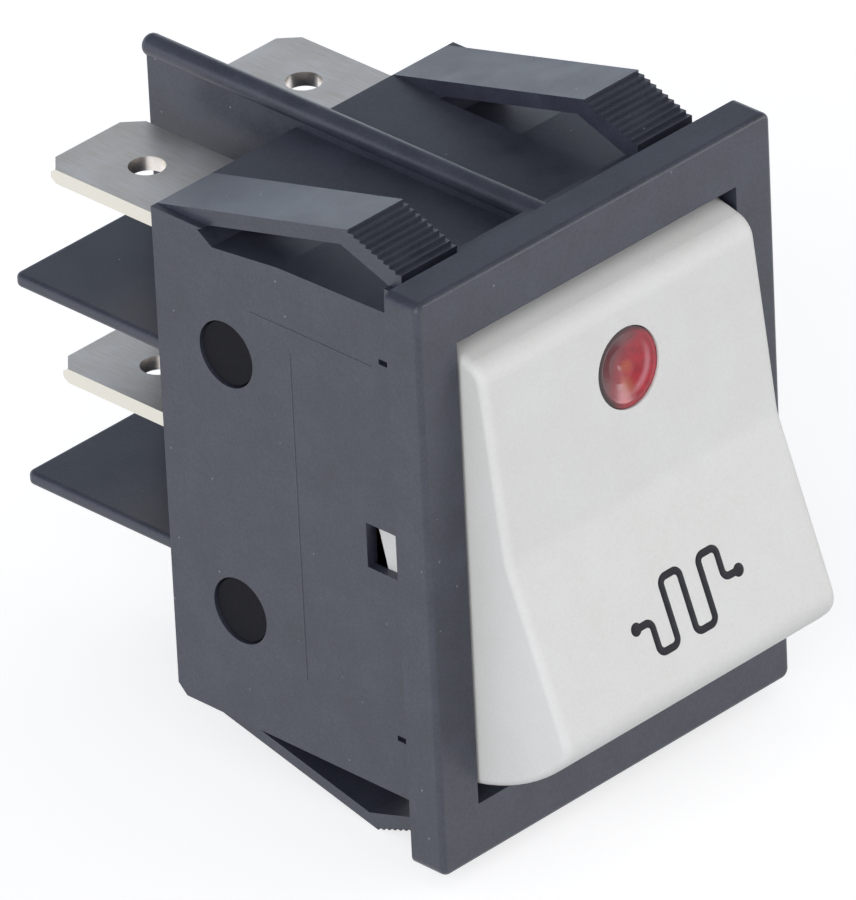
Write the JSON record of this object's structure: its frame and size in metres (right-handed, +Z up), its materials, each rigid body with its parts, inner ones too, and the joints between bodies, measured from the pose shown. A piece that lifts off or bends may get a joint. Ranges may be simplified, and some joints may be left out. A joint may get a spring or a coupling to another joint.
{
  "type": "panel rocker switch",
  "caption": "Snap-in panel rocker switch with a concave white paddle, red lens, dark moulded housing with serrated snap wings, and flat tab terminals between barriers.",
  "frame": {"origin": "middle of the cut-out, in the panel's front plane, which is the back face of the bezel", "axes": "+X across the switch to its right seen from the front, +Y into the panel towards the terminals, +Z up the long side, towards the lens"},
  "size_m": [0.0248, 0.0365, 0.0338],
  "materials": {
    "housing_plastic": "fine satin, dark blue-grey",
    "rocker_plastic": "fine satin, warm white",
    "carrier_plastic": "satin black",
    "plunger_plastic": "smooth natural white",
    "lens_plastic": "clear red, glossy",
    "lamp_glass": "clear glass",
    "resistor_coat": "tan lacquer",
    "lead_wire": "tinned wire",
    "spring_steel": "bright wire",
    "terminal_plating": "silver-plated brass",
    "arm_copper": "bright copper alloy",
    "contact_silver": "silver alloy"
  },
  "bodies": {
    "base": {"housing": "housing_plastic", "contact_carrier": "carrier_plastic", "neon_lamp": "lamp_glass", "ballast_resistor": "resistor_coat", "lamp_lead": "lead_wire", "lamp_link": "lead_wire", "resistor_lead": "lead_wire", "common_terminal_left": "terminal_plating", "common_terminal_right": "terminal_plating", "load_terminal_left": "terminal_plating", "load_terminal_right": "terminal_plating", "fixed_contact_left": "contact_silver", "fixed_contact_right": "contact_silver"},
    "paddle": {"rocker": "rocker_plastic", "lens": "lens_plastic", "plunger_spring_left": "spring_steel", "plunger_spring_right": "spring_steel"},
    "plunger_left_body": {"plunger_left": "plunger_plastic"},
    "arm_left_body": {"contact_arm_left": "arm_copper", "moving_contact_left": "contact_silver"},
    "plunger_right_body": {"plunger_right": "plunger_plastic"},
    "arm_right_body": {"contact_arm_right": "arm_copper", "moving_contact_right": "contact_silver"}
  },
  "joints": [
    {"name": "rocker_tip", "type": "hinge", "parent": "base", "child": "paddle", "pos_m": [0, 0.0011, 0], "axis": [1, 0, 0], "range_deg": [0, 28]},
    {"name": "plunger_left_press", "type": "slide", "parent": "paddle", "child": "plunger_left_body", "axis": [0, -0.9703, 0.2419], "range_m": [0, 0.0006], "stiffness_N_per_m": 150, "deforming": ["plunger_spring_left"]},
    {"name": "contact_arm_left_swing", "type": "hinge", "parent": "base", "child": "arm_left_body", "pos_m": [-0.0055, 0.00978, 0], "axis": [1, 0, 0], "range_deg": [-16, 0]},
    {"name": "plunger_right_press", "type": "slide", "parent": "paddle", "child": "plunger_right_body", "axis": [0, -0.9703, 0.2419], "range_m": [0, 0.0006], "stiffness_N_per_m": 150, "deforming": ["plunger_spring_right"]},
    {"name": "contact_arm_right_swing", "type": "hinge", "parent": "base", "child": "arm_right_body", "pos_m": [0.0055, 0.00978, 0], "axis": [1, 0, 0], "range_deg": [-16, 0]}
  ],
  "couplings": [
    {"joint": "contact_arm_left_swing", "follows": "rocker_tip", "ratio": -0.5714},
    {"joint": "contact_arm_right_swing", "follows": "rocker_tip", "ratio": -0.5714}
  ]
}
